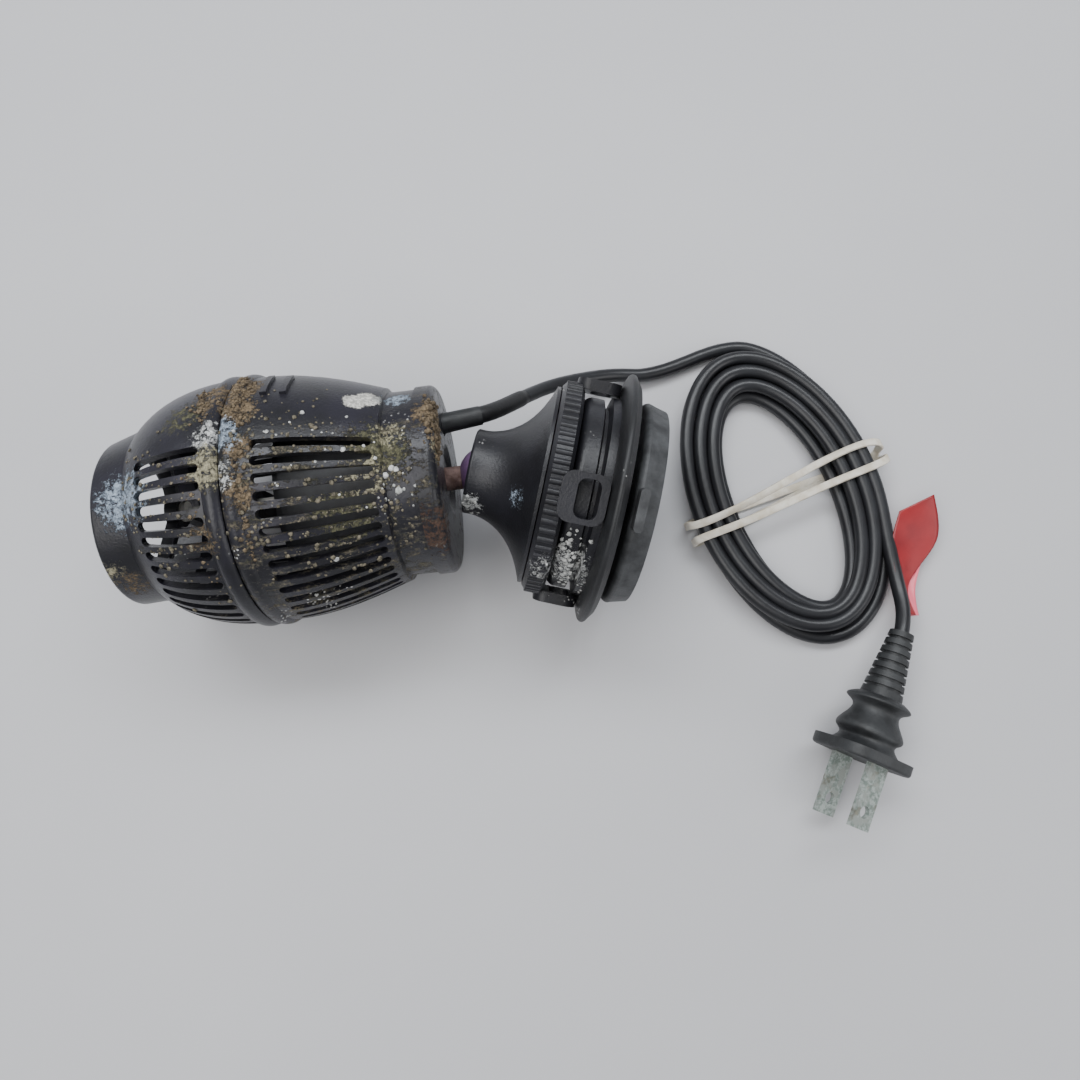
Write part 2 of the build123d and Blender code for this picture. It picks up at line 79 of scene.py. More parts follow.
# ---- Camera and light ----

CAMERA_PLACE = on_table(7.4, -53.3, 237.5)
CAMERA_TILT = math.radians(9.75)
CAMERA_TURN = math.radians(-6.7)
LENS = 27.17

camera_data = bpy.data.cameras.new("camera")
camera_data.lens = LENS
camera_data.sensor_width = 36.0
camera_data.clip_start = 0.01
camera = bpy.data.objects.new("camera", camera_data)
camera.matrix_world = (
    Matrix.Translation(CAMERA_PLACE)
    @ Matrix.Rotation(CAMERA_TURN, 4, "Z")
    @ Matrix.Rotation(CAMERA_TILT, 4, "X")
)
bpy.context.scene.collection.objects.link(camera)
bpy.context.scene.camera = camera


def area_light(name, place, target, size, power, color=(1.0, 1.0, 1.0)):
    data = bpy.data.lights.new(name, "AREA")
    data.shape = "RECTANGLE"
    data.size, data.size_y = size
    data.energy = power
    data.color = color
    lamp = bpy.data.objects.new(name, data)
    lamp.matrix_world = Matrix.Translation(place) @ (
        Vector(target) - Vector(place)
    ).to_track_quat("-Z", "Y").to_matrix().to_4x4()
    bpy.context.scene.collection.objects.link(lamp)


area_light("ceiling_strip", (0.05, 0.55, 0.95), (0.05, 0.0, 0.0), (1.5, 0.35), 14.0, (0.94, 0.97, 1.0))
area_light("ceiling_wide", (-0.5, -0.2, 1.1), (0.03, 0.0, 0.0), (0.9, 0.9), 9.0, (1.0, 0.99, 0.97))
area_light("side_fill", (0.9, -0.5, 0.6), (0.05, 0.0, 0.02), (0.6, 0.6), 3.0)
world = bpy.data.worlds.new("room")
world.use_nodes = True
world.node_tree.nodes["Background"].inputs["Color"].default_value = (0.78, 0.80, 0.84, 1.0)
world.node_tree.nodes["Background"].inputs["Strength"].default_value = 0.45
bpy.context.scene.world = world


# ---- Material kit ----


class Shader:
    """A principled material with short calls for the nodes that the materials here share."""

    def __init__(self, name, **sockets):
        self.material = bpy.data.materials.new(name)
        self.material.use_nodes = True
        self.nodes = self.material.node_tree.nodes
        self.links = self.material.node_tree.links
        self.surface = self.nodes["Principled BSDF"]
        for socket, value in sockets.items():
            self.surface.inputs[socket.replace("_", " ")].default_value = value
        self.place = self.nodes.new("ShaderNodeTexCoord").outputs["Object"]

    def wire(self, source, target):
        self.links.new(source, target)

    def noise(self, scale, detail=4.0, rough=0.6, stretch=None):
        node = self.nodes.new("ShaderNodeTexNoise")
        node.inputs["Scale"].default_value = scale
        node.inputs["Detail"].default_value = detail
        node.inputs["Roughness"].default_value = rough
        self.wire(self.stretched(stretch) if stretch else self.place, node.inputs["Vector"])
        return node.outputs["Fac"]

    def stretched(self, stretch):
        node = self.nodes.new("ShaderNodeMapping")
        node.inputs["Scale"].default_value = stretch
        self.wire(self.place, node.inputs["Vector"])
        return node.outputs["Vector"]

    def cells(self, scale):
        node = self.nodes.new("ShaderNodeTexVoronoi")
        node.inputs["Scale"].default_value = scale
        self.wire(self.place, node.inputs["Vector"])
        return node.outputs["Distance"]

    def step(self, value, low, high):
        """0 below low and 1 above high, smoothly, or the other way round if low is above high."""
        node = self.nodes.new("ShaderNodeMapRange")
        node.interpolation_type = "SMOOTHSTEP"
        node.inputs["From Min"].default_value = min(low, high)
        node.inputs["From Max"].default_value = max(low, high)
        node.inputs["To Min"].default_value = 0.0 if low < high else 1.0
        node.inputs["To Max"].default_value = 1.0 if low < high else 0.0
        self.wire(value, node.inputs["Value"])
        return node.outputs["Result"]

    def math(self, operation, first, second):
        node = self.nodes.new("ShaderNodeMath")
        node.operation = operation
        for index, value in enumerate((first, second)):
            if isinstance(value, (int, float)):
                node.inputs[index].default_value = value
            else:
                self.wire(value, node.inputs[index])
        return node.outputs["Value"]

    def near(self, point, radius):
        """1 at a point of the object, 0 from radius metres away."""
        node = self.nodes.new("ShaderNodeVectorMath")
        node.operation = "DISTANCE"
        node.inputs[1].default_value = point
        self.wire(self.place, node.inputs[0])
        return self.step(node.outputs["Value"], radius, radius * 0.25)

    def reach(self, direction):
        """How far a point lies from the ball's centre along a direction, in metres."""
        offset = self.nodes.new("ShaderNodeVectorMath")
        offset.operation = "SUBTRACT"
        offset.inputs[1].default_value = BALL
        self.wire(self.place, offset.inputs[0])
        node = self.nodes.new("ShaderNodeVectorMath")
        node.operation = "DOT_PRODUCT"
        node.inputs[1].default_value = direction
        self.wire(offset.outputs["Vector"], node.inputs[0])
        return node.outputs["Value"]

    def mix(self, amount, first, second):
        node = self.nodes.new("ShaderNodeMix")
        node.data_type = "RGBA"
        self.wire(amount, node.inputs["Factor"])
        for index, color in ((6, first), (7, second)):
            if isinstance(color, tuple):
                node.inputs[index].default_value = (*color, 1.0)
            else:
                self.wire(color, node.inputs[index])
        return node.outputs[2]

    def color(self, source):
        self.wire(source, self.surface.inputs["Base Color"])

    def roughness(self, amount, low, high):
        node = self.nodes.new("ShaderNodeMapRange")
        node.inputs["To Min"].default_value = low
        node.inputs["To Max"].default_value = high
        self.wire(amount, node.inputs["Value"])
        self.wire(node.outputs["Result"], self.surface.inputs["Roughness"])

    def bump(self, height, depth, strength=1.0):
        node = self.nodes.new("ShaderNodeBump")
        node.inputs["Distance"].default_value = depth
        node.inputs["Strength"].default_value = strength
        self.wire(height, node.inputs["Height"])
        self.wire(node.outputs["Normal"], self.surface.inputs["Normal"])


FILM_DARK = (0.085, 0.08, 0.05)
FILM_LIGHT = (0.29, 0.25, 0.17)
DOT_COLOR = (0.62, 0.62, 0.6)
CLEAN_REACH = 22.5 * MM
DIRTY_REACH = 18.5 * MM


def weathered(name, base, worn, film, dots, patches=(), gloss=(0.3, 0.85), clean_side=None):
    """Moulded black plastic with a dried algae film, lime dots and local patches of crust.

    film and dots run from 0, clean, to 1, heavy; patches are (point, radius, colour, cover), and
    clean_side is a direction from the pump's axis where the film stays thin.
    """
    shade = Shader(name, IOR=1.47)
    broad = shade.noise(60.0, 5.0)
    fine = shade.noise(1500.0, 3.0, 0.7)
    body = shade.mix(shade.step(broad, 0.35, 0.7), base, worn)
    streaks = shade.noise(1.0, 7.0, 0.75, stretch=(170.0, 420.0, 420.0))
    film_mask = shade.step(streaks, 0.70 - 0.22 * film, 0.82 - 0.22 * film)
    grain = shade.step(shade.noise(1300.0, 4.0, 0.8), 0.40, 0.62)
    film_mask = shade.math("MULTIPLY", film_mask, grain)
    dot_place = shade.step(shade.noise(85.0, 3.0), 0.66 - 0.16 * dots, 0.74 - 0.16 * dots)
    dot_shape = shade.step(shade.cells(900.0), 0.30, 0.20)
    dot_mask = shade.math("MULTIPLY", dot_place, dot_shape)
    if clean_side is not None:
        dirty = shade.step(shade.reach(clean_side), CLEAN_REACH, DIRTY_REACH)
        film_mask = shade.math("MULTIPLY", film_mask, dirty)
        dot_mask = shade.math("MULTIPLY", dot_mask, dirty)
    film_drift = shade.step(shade.noise(380.0, 3.0), 0.4, 0.62)
    film_tint = shade.mix(film_drift, FILM_DARK, FILM_LIGHT)
    body = shade.mix(film_mask, body, film_tint)
    body = shade.mix(dot_mask, body, DOT_COLOR)
    crust = shade.math("MAXIMUM", film_mask, dot_mask)
    ragged = shade.noise(700.0, 7.0, 0.85)
    for point, radius, tint, cover in patches:
        reach = shade.math("MULTIPLY", shade.near(point, radius), 0.20 + 0.10 * cover)
        field = shade.math("ADD", ragged, reach)
        mask = shade.step(field, 0.73, 0.77)
        shaded = shade.mix(grain, tuple(c * 0.45 for c in tint), tint)
        body = shade.mix(mask, body, shaded)
        crust = shade.math("MAXIMUM", crust, mask)
    shade.color(body)
    shade.roughness(crust, *gloss)
    relief = shade.math("ADD", crust, shade.math("MULTIPLY", fine, 0.3))
    shade.bump(relief, 0.00035, 0.9)
    return shade.material


BLACK = (0.010, 0.010, 0.012)
BLUE_BLACK = (0.019, 0.018, 0.027)
LIME = (0.66, 0.67, 0.66)
BLUE_LIME = (0.34, 0.41, 0.50)
TAN = (0.20, 0.145, 0.085)
OLIVE = (0.115, 0.11, 0.06)
RUST = (0.10, 0.055, 0.038)
YELLOW_LIME = (0.36, 0.33, 0.22)
PANEL_SIDE = pump_point(0, 34, 1) - BALL
PANEL_SIDE.normalize()

shell_front = weathered(
    "front_shell_plastic", BLACK, BLUE_BLACK, 0.55, 0.3, clean_side=PANEL_SIDE,
    patches=[
        (pump_point(-78, 93, 22), 0.013, BLUE_LIME, 1.0),
        (pump_point(-58, 52, 31), 0.012, TAN, 0.7),
        (pump_point(-59, 74, 32), 0.008, LIME, 0.8),
        (pump_point(-59, 88, 32), 0.010, YELLOW_LIME, 1.0),
        (pump_point(-66, 60, 30), 0.010, OLIVE, 0.5),
        (pump_point(-63, 118, 31), 0.008, TAN, 0.5),
    ],
)
nozzle_plastic = weathered(
    "nozzle_plastic", BLACK, BLUE_BLACK, 0.05, 0.1,
    patches=[
        (pump_point(-83, 94, 21), 0.013, BLUE_LIME, 1.0),
        (pump_point(-90, 140, 20), 0.008, YELLOW_LIME, 0.5),
        (pump_point(-87, 150, 21), 0.009, TAN, 0.4),
    ],
)
shell_rear = weathered(
    "rear_shell_plastic", BLACK, BLUE_BLACK, 0.95, 0.6, clean_side=PANEL_SIDE,
    patches=[
        (pump_point(-54, 44, 31), 0.011, TAN, 1.0),
        (pump_point(-53, 62, 31), 0.009, TAN, 1.0),
        (pump_point(-52.5, 80, 31), 0.007, TAN, 0.9),
        (pump_point(-52.5, 100, 31), 0.007, TAN, 0.7),
        (pump_point(-56, 74, 32), 0.009, BLUE_LIME, 0.9),
        (pump_point(-56, 92, 32), 0.007, LIME, 0.5),
        (pump_point(-27.4, 53, 27), 0.0046, (0.72, 0.70, 0.65), 3.0),
        (pump_point(-24.4, 49, 26.5), 0.0052, (0.72, 0.70, 0.65), 3.0),
        (pump_point(-22.0, 47, 26), 0.0036, (0.40, 0.40, 0.38), 2.4),
        (pump_point(-18.5, 44, 25), 0.0065, BLUE_LIME, 1.2),
        (pump_point(-22, 84, 26), 0.014, OLIVE, 1.0),
        (pump_point(-20, 74, 25), 0.008, YELLOW_LIME, 0.5),
        (pump_point(-31, 115, 28), 0.016, OLIVE, 0.7),
        (pump_point(-25, 98, 27), 0.012, YELLOW_LIME, 0.45),
    ],
)
cap_plastic = weathered(
    "cap_plastic", BLACK, BLUE_BLACK, 0.8, 0.5,
    patches=[
        (pump_point(-10, 62, 21), 0.010, TAN, 1.2),
        (pump_point(-10, 84, 20), 0.008, YELLOW_LIME, 0.7),
        (pump_point(-11, 134, 23), 0.014, RUST, 0.6),
    ],
)
mount_plastic = weathered(
    "mount_plastic", (0.009, 0.009, 0.011), (0.017, 0.017, 0.022), 0.12, 0.1,
    patches=[
        (mount_point(24, 150, 23), 0.014, LIME, 0.55),
        (mount_point(19, 148, 26), 0.009, LIME, 0.4),
        (mount_point(-3, 150, 11), 0.007, LIME, 0.6),
        (mount_point(8, 118, 17), 0.006, BLUE_LIME, 0.3),
    ],
    gloss=(0.38, 0.85),
)
bell_rubber = weathered(
    "bell_rubber", (0.009, 0.009, 0.010), (0.016, 0.017, 0.019), 0.1, 0.05, gloss=(0.48, 0.85)
)


def plain(name, dark, light, rough, scale=160.0, bump=0.00012):
    """A clean material whose colour drifts a little, with a fine moulded or ground texture."""
    shade = Shader(name)
    drift = shade.noise(scale, 5.0)
    shade.color(shade.mix(shade.step(drift, 0.3, 0.7), dark, light))
    shade.roughness(shade.noise(scale * 3.0, 3.0), *rough)
    shade.bump(shade.noise(scale * 9.0, 3.0, 0.7), bump, 0.6)
    return shade.material


cord_sheath = plain("cord_sheath", (0.010, 0.010, 0.012), (0.017, 0.018, 0.021), (0.30, 0.42), 90.0, 0.00005)
plug_rubber = plain("plug_rubber", (0.014, 0.015, 0.016), (0.03, 0.032, 0.034), (0.42, 0.62), 220.0)
pad_rubber = plain("pad_rubber", (0.022, 0.023, 0.025), (0.065, 0.068, 0.072), (0.45, 0.62), 200.0)
stem_crust = plain("stem_crust", (0.10, 0.055, 0.045), (0.26, 0.17, 0.15), (0.7, 0.9), 500.0, 0.0005)
liner_plastic = plain("liner_plastic", (0.10, 0.05, 0.12), (0.19, 0.11, 0.22), (0.3, 0.5))
band_rubber = plain("band_rubber", (0.55, 0.49, 0.38), (0.74, 0.70, 0.62), (0.55, 0.75), 260.0)
tag_film = plain("tag_film", (0.20, 0.010, 0.014), (0.33, 0.018, 0.022), (0.32, 0.45), 60.0, 0.00004)
tag_back = plain("tag_back", (0.86, 0.12, 0.19), (0.95, 0.2, 0.27), (0.3, 0.45), 60.0, 0.00004)
motor_plastic = plain("motor_plastic", (0.02, 0.02, 0.022), (0.035, 0.036, 0.04), (0.45, 0.6))
resin = plain("potting_resin", (0.01, 0.01, 0.01), (0.02, 0.019, 0.017), (0.2, 0.35))
bobbin_plastic = plain("bobbin_plastic", (0.6, 0.57, 0.5), (0.72, 0.7, 0.64), (0.4, 0.55))
ceramic = plain("ceramic", (0.75, 0.73, 0.69), (0.86, 0.85, 0.82), (0.18, 0.3))
ferrite = plain("ferrite", (0.05, 0.05, 0.055), (0.09, 0.09, 0.1), (0.45, 0.6))
impeller_plastic = plain("impeller_plastic", (0.03, 0.03, 0.034), (0.06, 0.06, 0.062), (0.4, 0.6))


def laminated(name):
    """Stacked steel sheets, 0.5 mm thick, along the pump."""
    shade = Shader(name, Metallic=1.0)
    wave = shade.nodes.new("ShaderNodeTexWave")
    wave.bands_direction = "X"
    wave.inputs["Scale"].default_value = 320.0
    wave.inputs["Distortion"].default_value = 0.2
    shade.wire(shade.place, wave.inputs["Vector"])
    shade.color(shade.mix(wave.outputs["Fac"], (0.2, 0.2, 0.21), (0.5, 0.51, 0.52)))
    shade.roughness(shade.noise(700.0), 0.3, 0.5)
    shade.bump(wave.outputs["Fac"], 0.0001)
    return shade.material


def wound_copper(name):
    """Fine enamelled wire laid side by side."""
    shade = Shader(name, Metallic=0.9)
    wave = shade.nodes.new("ShaderNodeTexWave")
    wave.bands_direction = "Y"
    wave.inputs["Scale"].default_value = 900.0
    wave.inputs["Distortion"].default_value = 0.6
    shade.wire(shade.place, wave.inputs["Vector"])
    shade.color(shade.mix(wave.outputs["Fac"], (0.25, 0.08, 0.03), (0.62, 0.28, 0.13)))
    shade.roughness(shade.noise(500.0), 0.25, 0.45)
    shade.bump(wave.outputs["Fac"], 0.00012)
    return shade.material


def corroded_brass(name):
    """Tarnished flat blades under blue-green and white corrosion."""
    shade = Shader(name)
    cover = shade.step(shade.noise(170.0, 6.0, 0.7), 0.30, 0.46)
    grain = shade.noise(800.0, 4.0, 0.7)
    green = shade.mix(shade.step(grain, 0.4, 0.6), (0.15, 0.185, 0.165), (0.32, 0.355, 0.335))
    green = shade.mix(shade.step(shade.noise(260.0, 4.0), 0.5, 0.6), green, (0.24, 0.26, 0.24))
    shade.color(shade.mix(cover, (0.26, 0.25, 0.20), green))
    shade.roughness(cover, 0.35, 0.8)
    shade.wire(shade.step(cover, 0.9, 0.2), shade.surface.inputs["Metallic"])
    shade.bump(shade.math("ADD", grain, cover), 0.00018, 0.8)
    return shade.material


steel_laminations = laminated("steel_laminations")
copper_wire = wound_copper("copper_wire")
blade_metal = corroded_brass("blade_metal")

CAD_MATERIALS = {
    "front_cage": shell_front, "outlet_nozzle": nozzle_plastic, "bearing_spider": nozzle_plastic,
    "rear_cage": shell_rear, "end_cap": cap_plastic, "motor_housing": motor_plastic,
    "motor_potting": resin, "stator_core": steel_laminations, "coil_bobbins": bobbin_plastic,
    "coil_windings": copper_wire, "rotor_well_cover": motor_plastic, "rear_bearing": ceramic,
    "front_bearing": ceramic, "rotor_shaft": ceramic, "rotor_magnet": ferrite,
    "impeller": impeller_plastic, "thrust_washers": bobbin_plastic, "ball_stem": stem_crust,
    "ball_liner": liner_plastic, "ball_seat": liner_plastic, "socket_cone": mount_plastic,
    "cup_hub": mount_plastic, "cup_bell": bell_rubber, "grip_ring": mount_plastic,
    "suction_pad": pad_rubber, "pull_stud": mount_plastic, "stud_pin": steel_laminations,
    "cable_boot": plug_rubber, "plug_strain_relief": plug_rubber, "plug_body": plug_rubber,
    "plug_blades": blade_metal,
}
for node, material in CAD_MATERIALS.items():
    mesh = frame["nodes"][node].data
    mesh.materials.clear()
    mesh.materials.append(material)


# ---- Mesh helpers ----


def mesh_piece(name, build, material, smooth=True):
    """A mesh object in the frame's axes, made by a function that fills a bmesh."""
    data = bpy.data.meshes.new(name)
    content = bmesh.new()
    build(content)
    bmesh.ops.recalc_face_normals(content, faces=content.faces)
    content.to_mesh(data)
    content.free()
    for polygon in data.polygons:
        polygon.use_smooth = smooth
    data.materials.append(material)
    piece = bpy.data.objects.new(name, data)
    bpy.context.scene.collection.objects.link(piece)
    return piece


def curve_piece(name, points, radius, material):
    """A round cord whose line is one open NURBS spline through the given control points."""
    data = bpy.data.curves.new(name, "CURVE")
    data.dimensions = "3D"
    data.bevel_depth = radius
    data.bevel_resolution = 4
    data.resolution_u = 6
    data.use_fill_caps = True
    spline = data.splines.new("NURBS")
    spline.points.add(len(points) - 1)
    for target, point in zip(spline.points, points):
        target.co = (*point, 1.0)
    spline.order_u = 3
    spline.use_endpoint_u = True
    data.materials.append(material)
    piece = bpy.data.objects.new(name, data)
    bpy.context.scene.collection.objects.link(piece)
    return piece


# ---- Mains lead ----

CORD_RADIUS = 2.0
BOOT_END = Vector((-0.13, 15.89, 34.06))
INSIDE_BOOT = Vector((6.0, 1.0, -0.8))
COIL_CENTRE = Vector((84.2, -8.6))
COIL_ANGLE = math.radians(105.1)
COIL_TURNS = 6.38
COIL_START = math.radians(118.0)
COIL_LONG = 48.2
COIL_SHORT = 28.2
POINTS_A_TURN = 16
TURN_INSETS = [0.0, 4.4, 8.8, 13.0, 11.4, 7.4, 3.4, 1.6]
TURN_HEIGHTS = [2.3, 2.1, 2.1, 2.6, 6.3, 6.3, 6.2, 6.2]
TURN_FANS = [2.2, 0.6, -0.8, -1.5, 0.2, 1.0, 1.4, 1.4]
TURN_SWAYS = [0.3, 0.3, 0.3, 0.6, 1.9, 2.1, 2.0, 1.4]


def between(values, position):
    index = min(int(position), len(values) - 2)
    share = position - index
    share = share * share * (3 - 2 * share)
    return values[index] * (1 - share) + values[index + 1] * share


def coil_point(turned):
    """A point of the hank after that many turns, clockwise from above."""
    angle = COIL_START - turned * 2 * math.pi
    inset = between(TURN_INSETS, turned)
    along = math.cos(angle - COIL_ANGLE)
    across = math.sin(angle - COIL_ANGLE)
    reach = COIL_LONG - inset + between(TURN_FANS, turned) * along
    width = COIL_SHORT - inset
    sway = between(TURN_SWAYS, turned) * math.sin(2 * angle + 0.7)
    along *= reach + sway
    across *= width + sway
    east = COIL_CENTRE.x + along * math.cos(COIL_ANGLE) - across * math.sin(COIL_ANGLE)
    north = COIL_CENTRE.y + along * math.sin(COIL_ANGLE) + across * math.cos(COIL_ANGLE)
    return on_table(east, north, between(TURN_HEIGHTS, turned))


lead = [
    on_table(*(BOOT_END - INSIDE_BOOT)),
    on_table(*BOOT_END),
    on_table(5.0, 18.6, 29.5),
    on_table(12.0, 24.0, 21.5),
    on_table(19.5, 28.8, 14.5),
    on_table(29.0, 32.0, 9.0),
    on_table(40.0, 34.0, 4.5),
    on_table(52.0, 32.8, 2.4),
]
coil = [
    coil_point(index / POINTS_A_TURN) for index in range(1, int(COIL_TURNS * POINTS_A_TURN) + 1)
]
tail = [
    on_table(111.4, -38.6, 7.2),
    on_table(110.6, -46.0, 9.8),
    on_table(107.8, -52.2, 12.2),
    on_table(106.6, -54.4, 12.2),
]
cord = curve_piece("mains_lead", lead + coil + tail, CORD_RADIUS * MM, cord_sheath)
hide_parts("cord_lead", "cord_coil", "cord_tail")
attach(cord, "pump")


def route_line(piece):
    """The points of a curve's own smooth line."""
    bare = piece.copy()
    bare.data = piece.data.copy()
    bare.data.bevel_depth = 0.0
    bpy.context.scene.collection.objects.link(bare)
    bpy.context.view_layer.update()
    evaluated = bare.evaluated_get(bpy.context.evaluated_depsgraph_get())
    line = bpy.data.meshes.new_from_object(evaluated)
    points = [vertex.co.copy() for vertex in line.vertices]
    bpy.data.objects.remove(bare)
    return points


TUBE_SIDES = 20


def tube(content, points, radii):
    """A closed tube through points, with a radius at each."""
    rings = []
    side = Vector((0, 0, 1))
    for index, (point, radius) in enumerate(zip(points, radii)):
        ahead = points[min(index + 1, len(points) - 1)] - points[max(index - 1, 0)]
        ahead.normalize()
        side = (side - ahead * side.dot(ahead)).normalized()
        other = ahead.cross(side)
        rings.append([
            content.verts.new(point + (side * math.cos(a) + other * math.sin(a)) * radius)
            for a in (2 * math.pi * k / TUBE_SIDES for k in range(TUBE_SIDES))
        ])
    for first, second in zip(rings, rings[1:]):
        for k in range(TUBE_SIDES):
            content.faces.new((first[k - 1], first[k], second[k], second[k - 1]))
    content.faces.new(rings[0])
    content.faces.new(rings[-1])


SLEEVE_LENGTH = 24.0 * MM
SLEEVE_RADIUS = 2.25 * MM
SLEEVE_TAPER = 0.9
sleeve_rubber = weathered(
    "sleeve_rubber", (0.012, 0.012, 0.013), (0.02, 0.02, 0.021), 0.15, 0.05,
    patches=[(on_table(18.4, 28.2, 15.4), 0.0035, (0.34, 0.22, 0.13), 2.0)],
    gloss=(0.45, 0.85),
)


def sleeve_points():
    """The lead's own line over the sleeve's length."""
    points = route_line(cord)
    kept = [points[0]]
    length = 0.0
    for point in points[1:]:
        length += (point - kept[-1]).length
        kept.append(point)
        if length > SLEEVE_LENGTH:
            break
    return kept


def build_sleeve(content):
    points = sleeve_points()
    radii = [SLEEVE_RADIUS] * (len(points) - 1) + [SLEEVE_RADIUS * SLEEVE_TAPER]
    tube(content, points, radii)


sleeve = mesh_piece("cable_sleeve", build_sleeve, sleeve_rubber)
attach(sleeve, "pump")

# ---- Crust that stands proud of the surface ----


LUMP_PROUD = 0.3
CAST_BACK = 30 * MM
STRAY_LIMIT = 12 * MM


def surface_tree(*nodes):
    """One ray-casting tree over several CAD nodes at rest."""
    vertices, faces = [], []
    for node in nodes:
        data = frame["nodes"][node].data
        first = len(vertices)
        vertices += [vertex.co.copy() for vertex in data.vertices]
        faces += [[first + k for k in polygon.vertices] for polygon in data.polygons]
    return BVHTree.FromPolygons(vertices, faces)


def lump(content, place, normal, size, flatness, shift):
    """One rough flake or lump that sits on a surface."""
    turn = normal.to_track_quat("Z", "Y").to_matrix()
    made = bmesh.ops.create_icosphere(content, subdivisions=2, radius=1.0)
    for vertex in made["verts"]:
        rough = 1.0 + 0.55 * noise.noise(vertex.co * 1.9 + shift)
        local = Vector((vertex.co.x, vertex.co.y, vertex.co.z * flatness)) * size * rough
        vertex.co = place + turn @ local


def crust_piece(name, material, body, tree, spots, size, flatness, seed):
    """Lumps at random in each spot: (count, from point, to point, jitter, ray direction)."""
    draw = random.Random(SEED + seed)

    def build(content):
        for count, start, stop, jitter, aim in spots:
            for _ in range(count):
                share = draw.random()
                away = Vector([draw.gauss(0, jitter) for _ in range(3)])
                target = start.lerp(stop, share) + away
                direction = aim(target)
                hit, normal, _index, _distance = tree.ray_cast(target - direction * CAST_BACK, direction)
                scale = size * (0.35 + 1.1 * draw.random() ** 2)
                shift = Vector([draw.uniform(-50, 50) for _ in range(3)])
                if hit is None or (hit - target).length > STRAY_LIMIT:
                    continue
                if normal.dot(direction) > 0:
                    normal = -normal
                seat = hit + normal * scale * flatness * LUMP_PROUD
                lump(content, seat, normal, scale, flatness, shift)

    piece = mesh_piece(name, build, material)
    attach(piece, body)
    return piece


def towards_pump_axis(point):
    offset = point - BALL
    return -(offset - PUMP_AXIS * offset.dot(PUMP_AXIS)).normalized()


def towards_mount_axis(point):
    offset = point - BALL
    return -(offset - MOUNT_AXIS * offset.dot(MOUNT_AXIS)).normalized()


def at_cap_face(_point):
    return -PUMP_AXIS


def crust_material(name, dark, light):
    shade = Shader(name)
    shade.color(shade.mix(shade.step(shade.noise(900.0, 5.0, 0.7), 0.35, 0.65), dark, light))
    shade.roughness(shade.noise(300.0), 0.75, 0.95)
    shade.bump(shade.noise(2200.0, 4.0, 0.8), 0.0003)
    return shade.material


tan_crust = crust_material("tan_crust", (0.05, 0.036, 0.022), (0.22, 0.165, 0.10))
lime_crust = crust_material("lime_crust", (0.36, 0.37, 0.36), (0.74, 0.74, 0.71))
rib_crust = crust_material("rib_crust", (0.05, 0.045, 0.03), (0.24, 0.21, 0.15))
rear_tree = surface_tree("rear_cage")
front_tree = surface_tree("front_cage")
cap_tree = surface_tree("end_cap")
mount_tree = surface_tree("cup_hub", "socket_cone")
crust_piece("crust_behind_band", tan_crust, "pump", rear_tree, [
    (200, pump_point(-54, 36, 31), pump_point(-53.2, 66, 31), 0.0013, towards_pump_axis),
    (130, pump_point(-52.6, 62, 31), pump_point(-52.4, 128, 31), 0.0007, towards_pump_axis),
], 0.00042, 0.6, 1)
crust_piece("crust_on_ribs", rib_crust, "pump", rear_tree, [
    (520, pump_point(-51, 78, 30), pump_point(-20, 112, 26), 0.0065, towards_pump_axis),
    (260, pump_point(-50, 108, 30), pump_point(-24, 140, 27), 0.006, towards_pump_axis),
], 0.00042, 0.55, 2)
crust_piece("flecks_on_ribs", lime_crust, "pump", rear_tree, [
    (46, pump_point(-50, 74, 30), pump_point(-18, 112, 26), 0.006, towards_pump_axis),
    (14, pump_point(-20, 92, 26), pump_point(-17, 112, 25), 0.002, towards_pump_axis),
], 0.0006, 0.4, 3)
crust_piece("crust_ahead_of_band", tan_crust, "front", front_tree, [
    (120, pump_point(-62.5, 44, 31), pump_point(-61, 64, 31), 0.0015, towards_pump_axis),
    (60, pump_point(-63.5, 84, 31), pump_point(-63, 140, 31), 0.001, towards_pump_axis),
], 0.00036, 0.6, 4)
crust_piece("crust_on_front_ribs", rib_crust, "front", front_tree, [
    (260, pump_point(-78, 84, 27), pump_point(-64, 128, 30), 0.006, towards_pump_axis),
], 0.0004, 0.55, 5)
crust_piece("crust_on_cap", tan_crust, "pump", cap_tree, [
    (230, pump_point(-9.7, 48, 20), pump_point(-9.7, 86, 20), 0.0016, at_cap_face),
    (60, pump_point(-10.5, 50, 24), pump_point(-10.5, 84, 24), 0.0007, towards_pump_axis),
], 0.00055, 0.8, 6)
crust_piece("lime_on_mount", lime_crust, "mount", mount_tree, [
    (150, mount_point(21.5, 128, 24), mount_point(26, 168, 24), 0.0020, towards_mount_axis),
    (26, mount_point(-3, 138, 11), mount_point(-1, 176, 11), 0.0010, towards_mount_axis),
], 0.00042, 0.5, 7)

# ---- Rubber band round the hank ----

BAND_ANGLE = math.radians(17.0)
BAND_MIDDLE = Vector((85.4, -8.2))
BAND_HALF = 31.0
BAND_LEVEL = 4.85
BAND_LIFT = 4.15
BAND_CORNER = 0.35
BAND_STEPS = 160
STRAND_WIDTH = 2.2
STRAND_THICK = 0.8
STRAND_OUTLINE = [
    (-1, -0.7), (-0.85, -1), (0.85, -1), (1, -0.7), (1, 0.7), (0.85, 1), (-0.85, 1), (-1, 0.7),
]
LOOPS = [(2.8, 1.2, 0.05, -0.10, 0.8), (-3.0, -1.6, -0.03, 0.03, 0.4)]


def squared(value):
    """A sine or cosine that turns a circle into a loop with flat sides."""
    return math.copysign(abs(value) ** BAND_CORNER, value)


